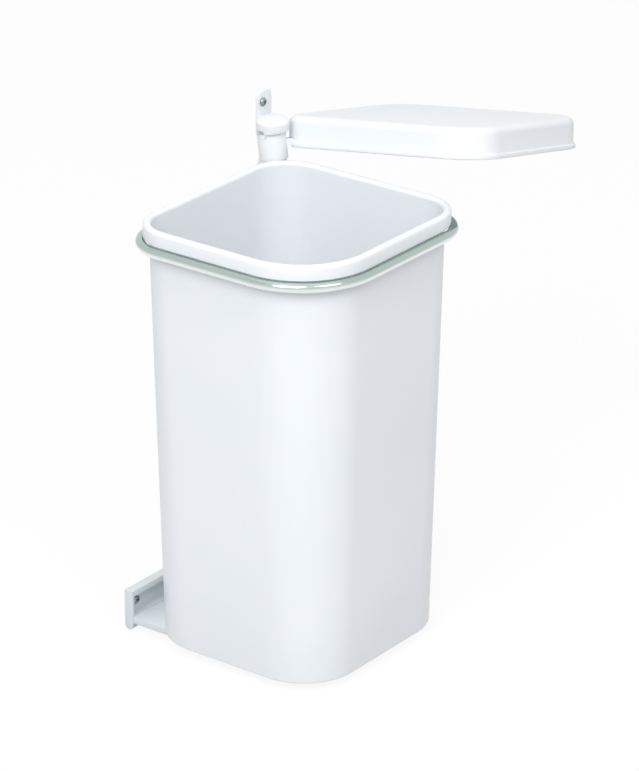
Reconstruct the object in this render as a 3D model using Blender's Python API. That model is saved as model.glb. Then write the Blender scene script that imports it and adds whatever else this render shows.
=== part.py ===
"""Door-mounted waste bin: a lift-out pail on a bracket, with a lid that swings aside on a leaning hinge.

Metres, +Z up. The door's face is the plane Y = 0, and the bin stands in front of it at negative Y.
X = 0 is the middle of the pail's width, and Z = 0 is the underside of the bracket's shelf.
"""

import math

import bmesh
import bpy
from mathutils import Quaternion, Vector

# Clearances
TOUCH = 0.0003
RUNNING = 0.00025
LOOSE = 0.0004
CUT_OVER = 0.01

# Pail
RIM_WIDTH = 0.230
RIM_DEPTH = 0.220
RIM_CORNER = 0.0425
RIM_FAR_CORNER = 0.0735
RIM_TOP = 0.415
RIM_BAND = 0.0145
RIM_OVERHANG = 0.00565
RIM_LIP = 0.0008
RIM_CROWN = 0.0036
RIM_ROOT = 0.001
PAIL_WALL = 0.0022
PAIL_DRAFT = 0.0015
PAIL_FOOT_CORNER = 0.056
PAIL_FOOT_EDGE = 0.0012
PAIL_FLOOR_FILLET = 0.006
PAIL_FLOOR_THICK = 0.0025
PAIL_BACK_GAP = 0.022

# Bracket: flange on the door, shelf under the pail
SHELF_THICK = 0.006
SHELF_SIDE_MARGIN = 0.01065
SHELF_FRONT_MARGIN = 0.0056
SHELF_CORNER = 0.050
FLANGE_THICK = 0.0094
FLANGE_LEFT_MARGIN = 0.0015
FLANGE_RIGHT_MARGIN = 0.013
FLANGE_TOP = 0.0335
FLANGE_DROP = 0.007
FLANGE_EDGE = 0.002
RECESS_DEPTH = 0.0064
RECESS_END_WALL = 0.003
RECESS_LOW = 0.0075
RECESS_HIGH = 0.0275
RECESS_TO_SOCKET = 0.00975
SOCKET_HEIGHT = 0.042
SOCKET_WALL = 0.0033
SOCKET_FLOOR = 0.003

# Column behind the rim's corner
COLUMN_RADIUS = 0.0137
COLUMN_WALL = 0.0016
COLUMN_RIM_GAP = 0.00455
COLUMN_DOOR_GAP = 0.0038
PLUG_DEPTH = 0.028
PLUG_EASE = 0.001
PLUG_LIP = 0.0013

# Leaning hinge
HINGE_DROP = 0.005
LEAN_BACK = math.radians(10.0)
LEAN_SIDE = math.radians(2.5)
OPEN_ANGLE = math.radians(95.0)
BARREL_LENGTH = 0.0262
SPINDLE_RADIUS = 0.004
SPINDLE_BELOW = 0.018
SPINDLE_ABOVE = 0.009
SPINDLE_EASE = 0.0006
BUSH_WALL = 0.0021
BUSH_GAP = 0.0008
WASHER_RADIUS = 0.010
WASHER_THICK = 0.0006
HEAD_RADIUS = 0.0157
HEAD_SIDE = 0.0100
HEAD_DOME = 0.0056
NOTCH_ABOVE = 0.0036
NOTCH_BELOW = 0.0046
NOTCH_WIDTH = 0.0085
NOTCH_DEPTH = 0.0060
TAB_OFFSET = 0.00745
TAB_WIDTH = 0.0211
TAB_THICK = 0.0026
TAB_CORNER = 0.0065
TAB_LENGTH = 0.0253
TAB_SCREW_DROP = 0.0102
TAB_SCREW_ASIDE = 0.0033

# Hoop and its collar
WIRE_RADIUS = 0.0047
HOOP_OFFSET = 0.0020
COLLAR_WALL = 0.0029
COLLAR_HEIGHT = 0.0115

# Lid, as it lies closed over the rim
LID_GAP = 0.0065
LID_INSET_LEFT = 0.005
LID_INSET_RIGHT = 0.0025
LID_INSET_FRONT = 0.005
LID_INSET_BACK = 0.001
LID_CORNER = 0.044
LID_NEAR_CORNER = 0.030
LID_HEIGHT = 0.0295
LID_WALL = 0.0022
LID_BEAD = 0.0022
LID_BEAD_HEIGHT = 0.0045
LID_BEAD_EASE = 0.001
LID_LIP = 0.0006
LID_EDGE = 0.007

# Arm that carries the lid
ARM_WIDTH = 0.014
ARM_HEIGHT = 0.007
ARM_RISE = 0.001
ARM_ROOT = 0.002
SLOT_INSIDE = 0.006
WEB_INTO_TONGUE = 0.004
WEB_STEP = 0.0006
WEB_CLEAR = 0.0014
TONGUE_THICK = 0.003
TONGUE_LENGTH = 0.046
TONGUE_CLEAR = 0.0012
TONGUE_WIDTH = 0.036
TONGUE_DROP = 0.0055
BOSS_RADIUS = 0.0036
BOSS_ROW_NEAR = 0.0165
BOSS_ROW_FAR = 0.036
BOSS_SPREAD = 0.011

# Screws
WOOD_HEAD_RADIUS = 0.0042
WOOD_HEAD_HEIGHT = 0.0025
WOOD_SHANK_RADIUS = 0.002
LID_HEAD_RADIUS = 0.0028
LID_HEAD_HEIGHT = 0.0018
LID_SHANK_RADIUS = 0.0013
LID_SHANK_LENGTH = 0.0075
GRUB_RADIUS = 0.002
GRUB_POINT = 0.0005
GRUB_SUNK = 0.0004
GRUB_SOCKET = 0.0012
FLANGE_SCREW_INSET = 0.0095
FLANGE_SCREW_Z = 0.0195

CORNER_STEPS = 8
ROUND_STEPS = 40
WIRE_STEPS = 14
SMALL_STEPS = 20

# Places that follow from the sizes
PAIL_TO_DOOR = RIM_DEPTH / 2 + PAIL_BACK_GAP
PAIL_CENTRE = (0.0, -PAIL_TO_DOOR)
PAIL_FLOOR_UNDER = SHELF_THICK + TOUCH
FOOT_INSET = RIM_OVERHANG + PAIL_DRAFT
SHELF_HALF_WIDTH = RIM_WIDTH / 2 - FOOT_INSET - PAIL_WALL - SHELF_SIDE_MARGIN
COLUMN_TO_DOOR = COLUMN_RADIUS + COLUMN_DOOR_GAP
COLUMN_REACH = RIM_CORNER + COLUMN_RIM_GAP + COLUMN_RADIUS
COLUMN_BEHIND = PAIL_BACK_GAP + RIM_CORNER - COLUMN_TO_DOOR
COLUMN_X = RIM_WIDTH / 2 - RIM_CORNER + math.sqrt(COLUMN_REACH**2 - COLUMN_BEHIND**2)
COLUMN_CENTRE = (COLUMN_X, -COLUMN_TO_DOOR)
SOCKET_RADIUS = COLUMN_RADIUS + RUNNING + SOCKET_WALL
FLANGE_LEFT = -SHELF_HALF_WIDTH - FLANGE_LEFT_MARGIN
FLANGE_RIGHT = COLUMN_X + FLANGE_RIGHT_MARGIN
RECESS_LEFT = FLANGE_LEFT + RECESS_END_WALL
RECESS_RIGHT = COLUMN_X - SOCKET_RADIUS - RECESS_TO_SOCKET
HINGE_Z = RIM_TOP - HINGE_DROP
LEAN_SLOPE = math.hypot(math.tan(LEAN_BACK), math.tan(LEAN_SIDE))
COLUMN_TOP = HINGE_Z - (COLUMN_RADIUS + BARREL_LENGTH / 2 * LEAN_SLOPE) * LEAN_SLOPE - PLUG_LIP
HINGE_POINT = Vector(
    (
        COLUMN_X - BARREL_LENGTH / 2 * math.tan(LEAN_SIDE),
        -COLUMN_TO_DOOR - BARREL_LENGTH / 2 * math.tan(LEAN_BACK),
        HINGE_Z,
    )
)
HINGE_AXIS = Vector((math.tan(LEAN_SIDE), math.tan(LEAN_BACK), 1.0)).normalized()
LEAN = Vector((0.0, 0.0, 1.0)).rotation_difference(HINGE_AXIS)
UPRIGHT = Quaternion()
HEAD_LOW = BARREL_LENGTH + TOUCH
HEAD_SHOULDER = HINGE_Z + HEAD_LOW + HEAD_SIDE
TAB_X = COLUMN_X + TAB_OFFSET
TAB_TOP = HEAD_SHOULDER + TAB_LENGTH
HOOP_Z = RIM_TOP - RIM_BAND - TOUCH - WIRE_RADIUS
LID_LEFT = -RIM_WIDTH / 2 + LID_INSET_LEFT
LID_RIGHT = RIM_WIDTH / 2 - LID_INSET_RIGHT
LID_FRONT = -PAIL_TO_DOOR - RIM_DEPTH / 2 + LID_INSET_FRONT
LID_BACK = -PAIL_TO_DOOR + RIM_DEPTH / 2 - LID_INSET_BACK
LID_BOTTOM = RIM_TOP + LID_GAP
LID_TOP = LID_BOTTOM + LID_HEIGHT


def material(name, colour, roughness, metallic=0.0):
    """A Principled material."""
    made = bpy.data.materials.new(name)
    made.use_nodes = True
    shader = made.node_tree.nodes["Principled BSDF"]
    shader.inputs["Base Color"].default_value = (*colour, 1.0)
    shader.inputs["Roughness"].default_value = roughness
    shader.inputs["Metallic"].default_value = metallic
    return made


def rounded_rectangle(x0, x1, y0, y1, radius, z, near=None, far=None):
    """Points round a rectangle with round corners; those at x1, y1 and x0, y0 may have their own radius."""
    first = radius if near is None else near
    third = radius if far is None else far
    corners = (
        (x1 - first, y1 - first, first, 0.0),
        (x0 + radius, y1 - radius, radius, 90.0),
        (x0 + third, y0 + third, third, 180.0),
        (x1 - radius, y0 + radius, radius, 270.0),
    )
    points = []
    for cx, cy, round_off, start in corners:
        for step in range(CORNER_STEPS + 1):
            angle = math.radians(start + 90.0 * step / CORNER_STEPS)
            points.append(Vector((cx + round_off * math.cos(angle), cy + round_off * math.sin(angle), z)))
    return points


def rim_outline(inset, z):
    """Outline of the pail's rim about its centre, drawn in by an inset."""
    half_x = RIM_WIDTH / 2 - inset
    half_y = RIM_DEPTH / 2 - inset
    far = RIM_FAR_CORNER - inset
    return rounded_rectangle(-half_x, half_x, -half_y, half_y, RIM_CORNER - inset, z, far=far)


def circle(radius, z, steps=ROUND_STEPS):
    """Points round a circle about Z."""
    points = []
    for step in range(steps):
        angle = 2 * math.pi * step / steps
        points.append(Vector((radius * math.cos(angle), radius * math.sin(angle), z)))
    return points


def finish(name, bm, surface, location=(0, 0, 0), rotation=UPRIGHT, parent=None):
    """Turns a bmesh into a named object with smooth round faces."""
    bmesh.ops.recalc_face_normals(bm, faces=bm.faces)
    mesh = bpy.data.meshes.new(name)
    bm.to_mesh(mesh)
    bm.free()
    mesh.shade_smooth()
    mesh.set_sharp_from_angle(angle=math.radians(35))
    obj = bpy.data.objects.new(name, mesh)
    obj.rotation_mode = "QUATERNION"
    obj.rotation_quaternion = rotation
    obj.location = location
    obj.parent = parent
    bpy.context.scene.collection.objects.link(obj)
    if surface is not None:
        mesh.materials.append(surface)
    return obj


def loft(name, loops, surface, closed=False, **place):
    """A skin over loops of equal length, capped at both ends or closed on itself."""
    bm = bmesh.new()
    rows = [[bm.verts.new(point) for point in loop] for loop in loops]
    pairs = list(zip(rows, rows[1:]))
    if closed:
        pairs.append((rows[-1], rows[0]))
    for low, high in pairs:
        for i in range(len(low)):
            j = (i + 1) % len(low)
            bm.faces.new((low[i], low[j], high[j], high[i]))
    if not closed:
        bm.faces.new(list(reversed(rows[0])))
        bm.faces.new(rows[-1])
    return finish(name, bm, surface, **place)


def turned(name, profile, surface, steps=ROUND_STEPS, closed=False, **place):
    """A turned piece from (radius, z) pairs."""
    return loft(name, [circle(r, z, steps) for r, z in profile], surface, closed, **place)


def box(name, low, high, surface=None, **place):
    """A box between two corners."""
    loops = []
    for z in (low[2], high[2]):
        corners = ((low[0], low[1]), (high[0], low[1]), (high[0], high[1]), (low[0], high[1]))
        loops.append([Vector((x, y, z)) for x, y in corners])
    return loft(name, loops, surface, **place)


def helper(obj):
    """Marks an object as a cutter or an addition that is not a piece itself."""
    obj.hide_render = True
    obj.display_type = "WIRE"
    return obj


def boolean(obj, other, operation):
    """Adds an exact Boolean with a helper."""
    helper(other)
    modifier = obj.modifiers.new(other.name, "BOOLEAN")
    modifier.operation = operation
    modifier.solver = "EXACT"
    modifier.object = other


def cut(obj, *cutters):
    """Takes helpers away from a piece."""
    for cutter in cutters:
        boolean(obj, cutter, "DIFFERENCE")


def add(obj, *additions):
    """Joins helpers to a piece."""
    for addition in additions:
        boolean(obj, addition, "UNION")


def ring_profile(inner, outer, low, high):
    """Closed section of a plain ring."""
    return ((inner, low), (outer, low), (outer, high), (inner, high))


def screw_profile(head_radius, head_height, shank_radius, shank_length):
    """Pan-head screw with its seat at z = 0, its head above and a small drive recess."""
    recess = head_radius * 0.4
    return (
        (shank_radius * 0.4, -shank_length),
        (shank_radius, -shank_length + shank_radius * 0.6),
        (shank_radius, 0.0),
        (head_radius, 0.0),
        (head_radius, head_height * 0.35),
        (head_radius * 0.86, head_height * 0.75),
        (head_radius * 0.55, head_height),
        (recess, head_height),
        (recess * 0.7, head_height * 0.45),
    )


def clear_scene():
    """Removes whatever the scene holds."""
    for obj in list(bpy.data.objects):
        bpy.data.objects.remove(obj, do_unlink=True)


def make_materials():
    """Surfaces of the pieces."""
    return {
        "white": material("white_plastic", (0.83, 0.86, 0.88), 0.35),
        "white_tube": material("white_enamel", (0.80, 0.82, 0.85), 0.3),
        "zinc": material("zinc_wire", (0.45, 0.50, 0.49), 0.35, 0.9),
        "steel": material("dark_zinc_steel", (0.22, 0.25, 0.24), 0.4, 0.9),
        "bush": material("natural_nylon", (0.72, 0.71, 0.66), 0.5),
    }


def build_bracket(surfaces):
    """Flange on the door, shelf under the pail and socket for the column, in one moulding."""
    half = FLANGE_THICK / 2
    bead_z = -FLANGE_DROP + half
    section = [(0.0, FLANGE_TOP), (0.0, bead_z)]
    for step in range(1, 12):
        angle = math.pi * step / 12
        section.append((-half + half * math.cos(angle), bead_z - half * math.sin(angle)))
    section.append((-FLANGE_THICK, bead_z))
    for degrees in (0, 45, 90):
        angle = math.radians(degrees)
        y = -FLANGE_THICK + FLANGE_EDGE * (1 - math.cos(angle))
        section.append((y, FLANGE_TOP - FLANGE_EDGE * (1 - math.sin(angle))))
    loops = [[Vector((x, y, z)) for y, z in section] for x in (FLANGE_LEFT, FLANGE_RIGHT)]
    bracket = loft("base_bracket", loops, surfaces["white"])

    shelf_front = -PAIL_TO_DOOR - RIM_DEPTH / 2 + FOOT_INSET + PAIL_WALL + SHELF_FRONT_MARGIN
    outline = [Vector((SHELF_HALF_WIDTH, -half, 0)), Vector((-SHELF_HALF_WIDTH, -half, 0))]
    for side, start in ((-1, 180.0), (1, 270.0)):
        for step in range(CORNER_STEPS + 1):
            angle = math.radians(start + 90.0 * step / CORNER_STEPS)
            x = side * (SHELF_HALF_WIDTH - SHELF_CORNER) + SHELF_CORNER * math.cos(angle)
            y = shelf_front + SHELF_CORNER + SHELF_CORNER * math.sin(angle)
            outline.append(Vector((x, y, 0)))
    lift = Vector((0, 0, SHELF_THICK))
    shelf = loft("shelf_shape", [outline, [point + lift for point in outline]], None)

    place = {"location": (*COLUMN_CENTRE, 0)}
    socket = turned("socket_shape", ((SOCKET_RADIUS, 0), (SOCKET_RADIUS, SOCKET_HEIGHT)), None, **place)
    bore = COLUMN_RADIUS + RUNNING
    socket_bore = turned("socket_bore", ((bore, SOCKET_FLOOR), (bore, SOCKET_HEIGHT + CUT_OVER)), None, **place)
    recess = box(
        "flange_recess",
        (RECESS_LEFT, -FLANGE_THICK - CUT_OVER, RECESS_LOW),
        (RECESS_RIGHT, -FLANGE_THICK + RECESS_DEPTH, RECESS_HIGH),
    )
    behind = box(
        "bracket_back_trim",
        (FLANGE_LEFT - CUT_OVER, 0.0, -FLANGE_DROP - CUT_OVER),
        (COLUMN_X + SOCKET_RADIUS + CUT_OVER, SOCKET_RADIUS, SOCKET_HEIGHT + CUT_OVER),
    )
    add(bracket, shelf, socket)
    cut(bracket, recess, socket_bore, behind)

    spots = {
        "base_screw_left": RECESS_LEFT + FLANGE_SCREW_INSET,
        "base_screw_right": RECESS_RIGHT - FLANGE_SCREW_INSET,
    }
    for name, x in spots.items():
        cut(bracket, wood_screw_hole(name + "_hole", x, FLANGE_SCREW_Z))
        wood_screw(name, x, -FLANGE_THICK + RECESS_DEPTH, FLANGE_SCREW_Z, surfaces["steel"])
    aside = Vector((1, 0, 0))
    cut(bracket, grub_hole("column_screw_hole", SOCKET_RADIUS, SOCKET_HEIGHT / 2, aside))
    grub_screw("column_screw", bore, SOCKET_RADIUS, SOCKET_HEIGHT / 2, aside, surfaces["steel"])
    return bracket


def wood_screw_hole(name, x, z):
    """Hole through a wall that lies on the door."""
    radius = WOOD_SHANK_RADIUS + LOOSE
    turn = Vector((0, 0, 1)).rotation_difference(Vector((0, -1, 0)))
    return turned(
        name,
        ((radius, -CUT_OVER), (radius, FLANGE_THICK + CUT_OVER)),
        None,
        SMALL_STEPS,
        location=(x, 0, z),
        rotation=turn,
    )


def wood_screw(name, x, seat_y, z, surface):
    """Wood screw whose head lies on a wall and whose shank is cut off level with the door."""
    turn = Vector((0, 0, 1)).rotation_difference(Vector((0, -1, 0)))
    length = -seat_y
    profile = screw_profile(WOOD_HEAD_RADIUS, WOOD_HEAD_HEIGHT, WOOD_SHANK_RADIUS, length)
    seat = (x, seat_y - TOUCH, z)
    return turned(name, profile, surface, SMALL_STEPS, location=seat, rotation=turn)


def grub_hole(name, outer, z, direction):
    """Hole from the column's middle out through a wall round it."""
    radius = GRUB_RADIUS + RUNNING
    turn = Vector((0, 0, 1)).rotation_difference(direction)
    profile = ((radius, 0), (radius, outer + CUT_OVER))
    return turned(name, profile, None, SMALL_STEPS, location=(*COLUMN_CENTRE, z), rotation=turn)


def grub_screw(name, inner, outer, z, direction, surface):
    """Headless screw through a wall round the column, bearing on the column."""
    profile = (
        (GRUB_RADIUS * 0.6, inner - RUNNING + TOUCH),
        (GRUB_RADIUS, inner + TOUCH + GRUB_POINT),
        (GRUB_RADIUS, outer - GRUB_SUNK),
        (GRUB_RADIUS * 0.5, outer - GRUB_SUNK),
        (GRUB_RADIUS * 0.5, outer - GRUB_SUNK - GRUB_SOCKET),
    )
    turn = Vector((0, 0, 1)).rotation_difference(direction)
    return turned(name, profile, surface, SMALL_STEPS, location=(*COLUMN_CENTRE, z), rotation=turn)


def build_column(surfaces):
    """Tube, the plug in its top with a face square to the leaning axis, and the spindle."""
    inner = COLUMN_RADIUS - COLUMN_WALL
    foot = SOCKET_FLOOR + TOUCH
    turned(
        "column_tube",
        ring_profile(inner, COLUMN_RADIUS, foot, COLUMN_TOP),
        surfaces["white_tube"],
        closed=True,
        location=(*COLUMN_CENTRE, 0),
    )
    plug_low = COLUMN_TOP - PLUG_DEPTH
    profile = (
        (inner - RUNNING - PLUG_EASE, plug_low),
        (inner - RUNNING, plug_low + PLUG_EASE),
        (inner - RUNNING, COLUMN_TOP + TOUCH),
        (COLUMN_RADIUS, COLUMN_TOP + TOUCH),
        (COLUMN_RADIUS, HINGE_Z + CUT_OVER),
    )
    plug = turned("column_plug", profile, surfaces["white_tube"], location=(*COLUMN_CENTRE, 0))
    wide = 2 * COLUMN_RADIUS + CUT_OVER
    above = box("plug_top_trim", (-wide, -wide, 0), (wide, wide, wide), location=HINGE_POINT, rotation=LEAN)
    hole = SPINDLE_RADIUS + RUNNING
    plug_bore = turned(
        "plug_bore",
        ((hole, -SPINDLE_BELOW - TOUCH), (hole, CUT_OVER)),
        None,
        SMALL_STEPS,
        location=HINGE_POINT,
        rotation=LEAN,
    )
    cut(plug, above, plug_bore)
    top = BARREL_LENGTH + SPINDLE_ABOVE
    profile = (
        (SPINDLE_RADIUS - SPINDLE_EASE, -SPINDLE_BELOW),
        (SPINDLE_RADIUS, -SPINDLE_BELOW + SPINDLE_EASE),
        (SPINDLE_RADIUS, top - SPINDLE_EASE),
        (SPINDLE_RADIUS - SPINDLE_EASE, top),
    )
    turned("spindle", profile, surfaces["steel"], SMALL_STEPS, location=HINGE_POINT, rotation=LEAN)


def seam_notch(name):
    """Cutter for the notch across the seam between the head and the barrel, as they stand at rest."""
    return box(
        name,
        (-HEAD_RADIUS - CUT_OVER, -NOTCH_WIDTH / 2, BARREL_LENGTH - NOTCH_BELOW),
        (-HEAD_RADIUS + NOTCH_DEPTH, NOTCH_WIDTH / 2, HEAD_LOW + NOTCH_ABOVE),
        location=HINGE_POINT,
        rotation=LEAN,
    )


def build_head(surfaces):
    """Fixed upright head over the barrel, with the tab that is screwed to the door."""
    profile = [(HEAD_RADIUS, HINGE_Z), (HEAD_RADIUS, HEAD_SHOULDER)]
    for step in range(1, 9):
        angle = math.radians(90.0 * step / 9)
        profile.append((HEAD_RADIUS * math.cos(angle), HEAD_SHOULDER + HEAD_DOME * math.sin(angle)))
    head = turned("hinge_head", profile, surfaces["white"], location=(*COLUMN_CENTRE, 0))
    left = TAB_X - TAB_WIDTH / 2
    right = TAB_X + TAB_WIDTH / 2
    saddle = box("saddle_shape", (left, -COLUMN_TO_DOOR, HINGE_Z), (right, CUT_OVER, HEAD_SHOULDER))
    outline = [Vector((right, 0, HINGE_Z))]
    for centre, start in ((right - TAB_CORNER, 0.0), (left + TAB_CORNER, 90.0)):
        for step in range(CORNER_STEPS + 1):
            angle = math.radians(start + 90.0 * step / CORNER_STEPS)
            z = TAB_TOP - TAB_CORNER + TAB_CORNER * math.sin(angle)
            outline.append(Vector((centre + TAB_CORNER * math.cos(angle), 0, z)))
    outline.append(Vector((left, 0, HINGE_Z)))
    loops = [[point + Vector((0, y, 0)) for point in outline] for y in (CUT_OVER / 2, -TAB_THICK)]
    tab = loft("tab_shape", loops, None)
    hole = SPINDLE_RADIUS + RUNNING
    blind = turned(
        "head_bore",
        ((hole, BARREL_LENGTH - CUT_OVER), (hole, BARREL_LENGTH + SPINDLE_ABOVE + TOUCH)),
        None,
        SMALL_STEPS,
        location=HINGE_POINT,
        rotation=LEAN,
    )
    wide = 3 * HEAD_RADIUS
    below = box(
        "head_foot_trim",
        (-wide, -wide, -BARREL_LENGTH),
        (wide, wide, HEAD_LOW),
        location=HINGE_POINT,
        rotation=LEAN,
    )
    behind = box(
        "head_back_trim",
        (COLUMN_X - wide, 0.0, HINGE_Z - CUT_OVER),
        (right + CUT_OVER, 2 * CUT_OVER, TAB_TOP + CUT_OVER),
    )
    screw_x = TAB_X - TAB_SCREW_ASIDE
    screw_z = TAB_TOP - TAB_SCREW_DROP
    add(head, saddle, tab)
    cut(head, below, behind, blind, seam_notch("head_notch"), wood_screw_hole("tab_screw_hole", screw_x, screw_z))
    wood_screw("tab_screw", screw_x, -TAB_THICK, screw_z, surfaces["steel"])


def build_bearings(surfaces):
    """Washers at both ends of the barrel and the two bushes inside it."""
    bore = SPINDLE_RADIUS + RUNNING
    ends = {
        "lower_washer": TOUCH / 2,
        "upper_washer": BARREL_LENGTH + TOUCH - TOUCH / 2 - WASHER_THICK,
    }
    for name, low in ends.items():
        section = ring_profile(bore, WASHER_RADIUS, low, low + WASHER_THICK)
        turned(name, section, surfaces["bush"], closed=True, location=HINGE_POINT, rotation=LEAN)


def lid_frame():
    """Empty on the hinge axis: its children are drawn closed, about the hinge point."""
    pivot = bpy.data.objects.new("lid_pivot", None)
    pivot.location = HINGE_POINT
    pivot.rotation_mode = "QUATERNION"
    pivot.rotation_quaternion = Quaternion(HINGE_AXIS, OPEN_ANGLE)
    bpy.context.scene.collection.objects.link(pivot)
    return pivot


def arm_turn():
    """Turn about Z that points local X from the column to the middle of the lid's near corner."""
    corner = Vector((LID_RIGHT - LID_NEAR_CORNER, LID_BACK - LID_NEAR_CORNER))
    towards = corner - HINGE_POINT.xy
    return Quaternion((0, 0, 1), math.atan2(towards.y, towards.x)), towards.length - LID_NEAR_CORNER


def build_arm(surfaces, pivot):
    """Barrel on the spindle, with an arm into the lid's corner and a tongue under its top."""
    turn, reach = arm_turn()
    recess = WASHER_THICK + TOUCH
    bore = SPINDLE_RADIUS + RUNNING + BUSH_WALL + RUNNING
    seat = WASHER_RADIUS + LOOSE
    section = (
        (bore, TOUCH + recess),
        (seat, TOUCH + recess),
        (seat, TOUCH),
        (COLUMN_RADIUS, TOUCH),
        (COLUMN_RADIUS, BARREL_LENGTH),
        (seat, BARREL_LENGTH),
        (seat, BARREL_LENGTH - recess),
        (bore, BARREL_LENGTH - recess),
    )
    arm = turned("hinge_arm", section, surfaces["white"], closed=True, rotation=LEAN, parent=pivot)

    arm_low = LID_BOTTOM + ARM_RISE - HINGE_Z
    web_start = reach + LID_BEAD + LID_WALL + WEB_CLEAR
    tongue_high = LID_TOP - LID_WALL - TONGUE_DROP - HINGE_Z
    half = ARM_WIDTH / 2
    place = {"rotation": turn, "parent": pivot}
    inner_corner = LID_NEAR_CORNER - LID_BEAD - LID_WALL
    tongue_half = TONGUE_WIDTH / 2 + TONGUE_CLEAR
    setback = inner_corner - math.sqrt(inner_corner**2 - tongue_half**2) - WEB_CLEAR
    web_end = web_start + setback + WEB_INTO_TONGUE
    beam = box(
        "arm_beam",
        (bore + ARM_ROOT, -half, arm_low),
        (web_end - WEB_STEP, half, arm_low + ARM_HEIGHT),
        **place,
    )
    web = box(
        "arm_web",
        (web_start, -half + WEB_STEP, arm_low + WEB_STEP),
        (web_end, half - WEB_STEP, tongue_high - WEB_STEP),
        **place,
    )
    tongue = box(
        "arm_tongue",
        (web_start + setback, -TONGUE_WIDTH / 2, tongue_high - TONGUE_THICK),
        (web_start + TONGUE_LENGTH, TONGUE_WIDTH / 2, tongue_high),
        **place,
    )
    cut(arm, seam_notch("barrel_notch"))
    add(arm, beam, web, tongue)

    spots = {
        "lid_screw_near": (web_start + BOSS_ROW_NEAR, 0.0),
        "lid_screw_left": (web_start + BOSS_ROW_FAR, BOSS_SPREAD),
        "lid_screw_right": (web_start + BOSS_ROW_FAR, -BOSS_SPREAD),
    }
    hole = LID_SHANK_RADIUS + LOOSE
    for name, (along, across) in spots.items():
        spot = turn @ Vector((along, across, 0))
        under = (spot.x, spot.y, tongue_high - TONGUE_THICK)
        cut(
            arm,
            turned(
                name + "_hole",
                ((hole, -TONGUE_THICK), (hole, 2 * TONGUE_THICK)),
                None,
                SMALL_STEPS,
                location=under,
                parent=pivot,
            ),
        )
        profile = screw_profile(LID_HEAD_RADIUS, LID_HEAD_HEIGHT, LID_SHANK_RADIUS, LID_SHANK_LENGTH)
        turned(
            name,
            profile,
            surfaces["steel"],
            SMALL_STEPS,
            location=(under[0], under[1], under[2] - TOUCH),
            rotation=Quaternion((1, 0, 0), math.pi),
            parent=pivot,
        )

    middle = BARREL_LENGTH / 2
    inner = SPINDLE_RADIUS + RUNNING
    outer = inner + BUSH_WALL
    spans = {
        "lower_bush": (TOUCH + recess + TOUCH, middle - BUSH_GAP / 2),
        "upper_bush": (middle + BUSH_GAP / 2, BARREL_LENGTH - recess - TOUCH),
    }
    for name, (low, high) in spans.items():
        section = ring_profile(inner, outer, low, high)
        turned(name, section, surfaces["bush"], SMALL_STEPS, closed=True, rotation=LEAN, parent=pivot)
    return spots, tongue_high


def build_lid(surfaces, pivot, spots, tongue_high):
    """Shallow lid with a rounded top edge and a bead round its mouth."""
    turn, reach = arm_turn()

    def loop(inset, z):
        points = rounded_rectangle(
            LID_LEFT + inset,
            LID_RIGHT - inset,
            LID_FRONT + inset,
            LID_BACK - inset,
            LID_CORNER - inset,
            z,
            LID_NEAR_CORNER - inset,
        )
        return [point - HINGE_POINT for point in points]

    inner = LID_BEAD + LID_WALL
    inner_edge = LID_EDGE - LID_WALL
    shoulder = LID_TOP - LID_EDGE
    loops = [loop(inner + inner_edge, LID_TOP - LID_WALL)]
    for degrees in (60, 30, 0):
        angle = math.radians(degrees)
        inset = inner + inner_edge * (1 - math.cos(angle))
        loops.append(loop(inset, shoulder + inner_edge * math.sin(angle)))
    loops.append(loop(inner, LID_BOTTOM))
    loops.append(loop(LID_LIP, LID_BOTTOM))
    loops.append(loop(0.0, LID_BOTTOM + LID_LIP))
    loops.append(loop(0.0, LID_BOTTOM + LID_BEAD_HEIGHT - LID_BEAD_EASE))
    loops.append(loop(LID_BEAD, LID_BOTTOM + LID_BEAD_HEIGHT))
    for degrees in (0, 18, 36, 54, 72, 90):
        angle = math.radians(degrees)
        inset = LID_BEAD + LID_EDGE * (1 - math.cos(angle))
        loops.append(loop(inset, shoulder + LID_EDGE * math.sin(angle)))
    lid = loft("lid_shell", loops, surfaces["white"], parent=pivot)

    low = LID_BOTTOM - HINGE_Z
    slot = box(
        "arm_slot",
        (reach - CUT_OVER, -ARM_WIDTH / 2 - LOOSE, low - CUT_OVER),
        (reach + inner + SLOT_INSIDE, ARM_WIDTH / 2 + LOOSE, low + ARM_RISE + ARM_HEIGHT + LOOSE),
        rotation=turn,
        parent=pivot,
    )
    under_top = LID_TOP - LID_WALL - HINGE_Z
    for name, (along, across) in spots.items():
        spot = turn @ Vector((along, across, 0))
        place = {"location": (spot.x, spot.y, 0), "parent": pivot}
        boss = turned(
            name + "_boss",
            ((BOSS_RADIUS, tongue_high + TOUCH), (BOSS_RADIUS, under_top + LID_WALL / 2)),
            None,
            SMALL_STEPS,
            **place,
        )
        pilot = LID_SHANK_RADIUS + RUNNING
        deep = tongue_high - TONGUE_THICK - TOUCH + LID_SHANK_LENGTH + TOUCH
        pilot_hole = turned(
            name + "_pilot", ((pilot, tongue_high - CUT_OVER), (pilot, deep)), None, SMALL_STEPS, **place
        )
        add(lid, boss)
        cut(lid, pilot_hole)
    cut(lid, slot)


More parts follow.
